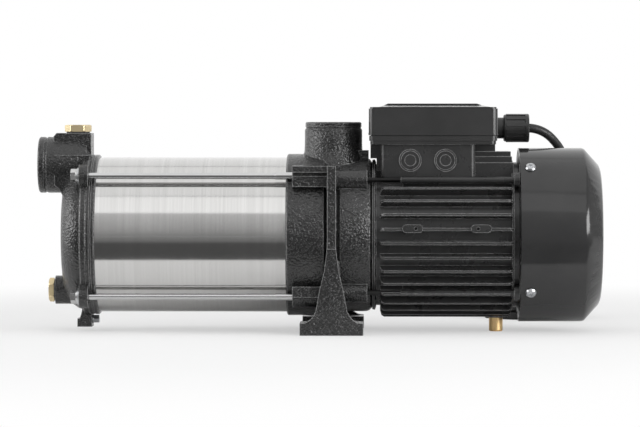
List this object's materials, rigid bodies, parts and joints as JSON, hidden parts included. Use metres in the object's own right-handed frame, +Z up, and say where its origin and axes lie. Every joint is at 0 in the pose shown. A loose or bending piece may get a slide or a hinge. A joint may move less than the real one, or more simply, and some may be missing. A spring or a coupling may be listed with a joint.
{
  "type": "multistage surface pump",
  "caption": "Horizontal multistage surface pump with a stainless barrel, cast suction cover, discharge bracket with foot, finned motor, fan cover, terminal box and corded plug.",
  "frame": {"origin": "on the floor, centre of the foot's bolt pattern, under the shaft", "axes": "+X along the shaft towards the fan, +Z up along the outlet, +Y to the far side of the picture"},
  "size_m": [0.4654, 0.315, 0.1887],
  "materials": {
    "cast_black": "gloss black paint over an as-cast texture",
    "motor_black": "satin black paint on die-cast aluminium",
    "cover_black": "satin black powder coat on sheet steel",
    "stainless_barrel": "brushed around",
    "stainless": "satin",
    "zinc": "bright zinc plate",
    "dark_steel": "dark zinc plate",
    "brass": "satin machined",
    "brass_leg": "yellow passivated",
    "rubber": "matt",
    "cable_rubber": "satin",
    "box_plastic": "satin",
    "gland_plastic": "fine matt",
    "stage_plastic": "moulded",
    "white_plastic": "moulded",
    "carbon": "lapped",
    "ceramic": "lapped white ceramic",
    "bearing_steel": "polished",
    "lamination": "laminated sheet",
    "copper": "varnished winding",
    "rotor_alu": "die-cast cage",
    "fan_plastic": "moulded"
  },
  "bodies": {
    "pump": {"suction_cover": "cast_black", "ground_screw": "zinc", "barrel": "stainless_barrel", "barrel_gasket_front": "rubber", "barrel_gasket_rear": "rubber", "tie_bolts": "zinc", "tie_bolt_washers": "zinc", "stage_casing_1": "stainless", "stage_casing_2": "stainless", "stage_casing_3": "stainless", "stage_casing_4": "stainless", "stage_casing_5": "stainless", "diffuser_1": "stage_plastic", "diffuser_2": "stage_plastic", "diffuser_3": "stage_plastic", "diffuser_4": "stage_plastic", "diffuser_5": "stage_plastic", "discharge_bracket": "cast_black", "seal_seat": "ceramic", "front_bearing_outer": "bearing_steel", "rear_bearing_outer": "bearing_steel", "stator_core": "lamination", "stator_winding": "copper", "motor_housing": "motor_black", "motor_bolts": "dark_steel", "support_leg": "brass_leg", "rear_shield": "motor_black", "fan_cover": "cover_black", "cover_screws": "zinc", "terminal_base": "box_plastic", "terminal_gasket": "rubber", "terminal_lid": "box_plastic", "lid_screws": "zinc", "terminal_block": "white_plastic", "capacitor": "white_plastic", "gland_body": "gland_plastic", "gland_nut": "gland_plastic", "cable": "cable_rubber", "cable_coil": "cable_rubber", "plug_body": "cable_rubber", "plug_pins": "brass"},
    "rotor": {"shaft": "stainless", "impeller_nut": "stainless", "spacer_sleeve": "stainless", "impeller_1": "stainless", "impeller_2": "stainless", "impeller_3": "stainless", "impeller_4": "stainless", "impeller_5": "stainless", "seal_head": "carbon", "front_bearing_inner": "bearing_steel", "rear_bearing_inner": "bearing_steel", "rotor_core": "rotor_alu", "fan": "fan_plastic"},
    "front_cage": {"front_bearing_balls": "bearing_steel"},
    "rear_cage": {"rear_bearing_balls": "bearing_steel"},
    "priming_washer": {"priming_seal": "rubber"},
    "priming_plug": {"priming_plug": "brass"},
    "drain_washer": {"drain_seal": "rubber"},
    "drain_plug": {"drain_plug": "brass"}
  },
  "joints": [
    {"name": "rotor_spin", "type": "hinge", "parent": "pump", "child": "rotor", "pos_m": [0, 0, 0.08], "axis": [1, 0, 0], "continuous": true},
    {"name": "front_cage_spin", "type": "hinge", "parent": "pump", "child": "front_cage", "pos_m": [0, 0, 0.08], "axis": [1, 0, 0], "continuous": true},
    {"name": "rear_cage_spin", "type": "hinge", "parent": "pump", "child": "rear_cage", "pos_m": [0, 0, 0.08], "axis": [1, 0, 0], "continuous": true},
    {"name": "priming_turn", "type": "hinge", "parent": "pump", "child": "priming_washer", "pos_m": [-0.2112, 0, 0.1652], "axis": [0, 0, 1], "range_deg": [0, 2520]},
    {"name": "priming_rise", "type": "slide", "parent": "priming_washer", "child": "priming_plug", "axis": [0, 0, 1], "range_m": [0, 0.0095]},
    {"name": "drain_turn", "type": "hinge", "parent": "pump", "child": "drain_washer", "pos_m": [-0.2305, 0, 0.034], "axis": [-1, 0, 0], "range_deg": [0, 2880]},
    {"name": "drain_out", "type": "slide", "parent": "drain_washer", "child": "drain_plug", "axis": [-1, 0, 0], "range_m": [0, 0.0108]}
  ],
  "couplings": [
    {"joint": "front_cage_spin", "follows": "rotor_spin", "ratio": 0.3818},
    {"joint": "rear_cage_spin", "follows": "rotor_spin", "ratio": 0.3808},
    {"joint": "priming_rise", "follows": "priming_turn", "m_per_rad": 0.00021279},
    {"joint": "drain_out", "follows": "drain_turn", "m_per_rad": 0.00021279}
  ]
}
